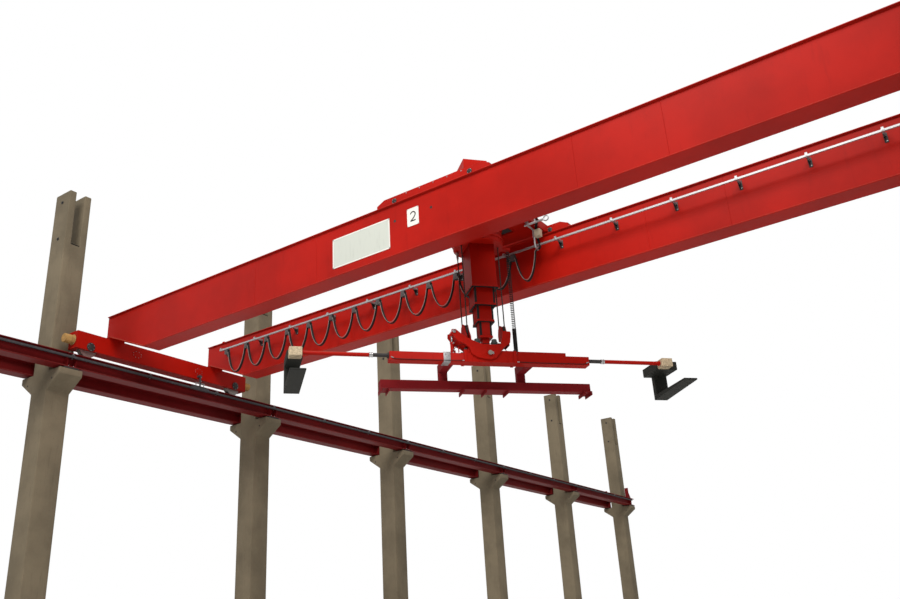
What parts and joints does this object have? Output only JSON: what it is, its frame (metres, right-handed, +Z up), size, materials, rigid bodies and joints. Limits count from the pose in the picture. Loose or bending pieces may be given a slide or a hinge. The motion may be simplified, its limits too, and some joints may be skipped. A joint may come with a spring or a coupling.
{
  "type": "overhead bridge crane",
  "caption": "Double-girder bridge crane on concrete columns with runway beams, a slewing telescopic mast and a long fork beam that lifts packs.",
  "frame": {"origin": "centre of the columns' footprint on the floor", "axes": "+X across the hall to the right of the picture's view, +Y along the runway away from the camera, +Z up"},
  "size_m": [20.5, 36.55, 12.2],
  "materials": {
    "concrete": "rough cast concrete, weathered",
    "bearing_black": "dark grimy steel",
    "runway_red": "semi-gloss dark red paint, dusty",
    "rail_steel": "worn bare steel",
    "line_grey": "matt grey plastic and steel",
    "crane_red": "semi-gloss orange-red paint",
    "buffer_ochre": "matt ochre cellular rubber",
    "zinc": "dull galvanised steel",
    "cable_black": "matt black rubber sheath",
    "sign_white": "plain white enamel",
    "box_beige": "light beige paint",
    "drum_steel": "greased grooved iron",
    "motor_green": "grey-green machine paint",
    "rope_wire": "greased wire rope",
    "sheave_iron": "dark greased iron",
    "pin_steel": "worn turned steel",
    "frame_crimson": "dark red paint, grimy",
    "hydraulic_green": "grey-green machine paint",
    "block_cream": "pale worn wood",
    "fork_green": "dark grey-green paint, worn"
  },
  "bodies": {
    "structure": {"columns_left": "concrete", "columns_right": "concrete", "bearing_plates": "bearing_black", "inner_runway_left": "runway_red", "inner_runway_right": "runway_red", "outer_runway_left": "runway_red", "outer_runway_right": "runway_red", "crane_rails": "rail_steel", "side_ties": "bearing_black", "end_stops": "runway_red", "conductor_line": "line_grey"},
    "bridge": {"front_girder": "crane_red", "rear_girder": "crane_red", "girder_seats": "crane_red", "trolley_rails": "rail_steel", "left_end_carriage": "crane_red", "right_end_carriage": "crane_red", "carriage_wheels": "rail_steel", "buffers": "buffer_ochre", "current_collector": "line_grey", "festoon_rail": "zinc", "sign_plates": "sign_white", "festoon_cable": "cable_black", "cable_hangers": "zinc"},
    "trolley": {"trolley_side_frames": "crane_red", "trolley_cross_beams": "crane_red", "trolley_deck": "crane_red", "slew_housing": "crane_red", "trolley_wheels": "rail_steel", "festoon_tow_arm": "zinc", "control_box": "box_beige"},
    "mast": {"slew_plate": "crane_red", "mast_tube": "crane_red", "winch_platform": "crane_red", "winch_drums": "drum_steel", "winch_motors": "motor_green", "hoist_ropes": "rope_wire", "spiral_cable": "cable_black"},
    "stage_two": {"mast_stage_two": "crane_red"},
    "stage_three": {"mast_stage_three": "crane_red"},
    "load_beam": {"mast_inner_tube": "crane_red", "mast_foot": "crane_red", "yoke": "crane_red", "sheave_blocks": "crane_red", "rope_sheaves": "sheave_iron", "pivot_pin": "pin_steel", "fork_beam": "crane_red", "lower_frame": "frame_crimson", "frame_brackets": "frame_crimson", "cable_tube": "cable_black", "hydraulic_unit": "hydraulic_green"},
    "left_reach": {"left_arm": "crane_red", "left_arm_block": "block_cream", "left_fork": "fork_green"},
    "right_reach": {"right_arm": "crane_red", "right_arm_block": "block_cream", "right_fork": "fork_green"}
  },
  "joints": [
    {"name": "bridge_travel", "type": "slide", "parent": "structure", "child": "bridge", "axis": [0, 1, 0], "range_m": [-5.65, 24.65]},
    {"name": "trolley_travel", "type": "slide", "parent": "bridge", "child": "trolley", "axis": [1, 0, 0], "range_m": [-6.5, 6.46], "deforming": ["festoon_cable", "cable_hangers"]},
    {"name": "slew", "type": "hinge", "parent": "trolley", "child": "mast", "pos_m": [0.02, -9.5, 8.69], "axis": [0, 0, 1], "range_deg": [-139.3, 40.7]},
    {"name": "hoist", "type": "slide", "parent": "mast", "child": "load_beam", "axis": [0, 0, 1], "range_m": [-5.6, 0.75], "deforming": ["hoist_ropes", "spiral_cable"]},
    {"name": "stage_two_slide", "type": "slide", "parent": "mast", "child": "stage_two", "axis": [0, 0, 1], "range_m": [-1.87, 0.2505]},
    {"name": "stage_three_slide", "type": "slide", "parent": "mast", "child": "stage_three", "axis": [0, 0, 1], "range_m": [-3.74, 0.5005]},
    {"name": "left_arm_slide", "type": "slide", "parent": "load_beam", "child": "left_reach", "axis": [-0.6521, -0.7581, 0], "range_m": [-0.15, 1.2]},
    {"name": "right_arm_slide", "type": "slide", "parent": "load_beam", "child": "right_reach", "axis": [0.6521, 0.7581, 0], "range_m": [-0.15, 1.2]}
  ],
  "couplings": [
    {"joint": "stage_two_slide", "follows": "hoist", "ratio": 0.3333},
    {"joint": "stage_three_slide", "follows": "hoist", "ratio": 0.6667},
    {"joint": "right_arm_slide", "follows": "left_arm_slide", "ratio": 1}
  ]
}
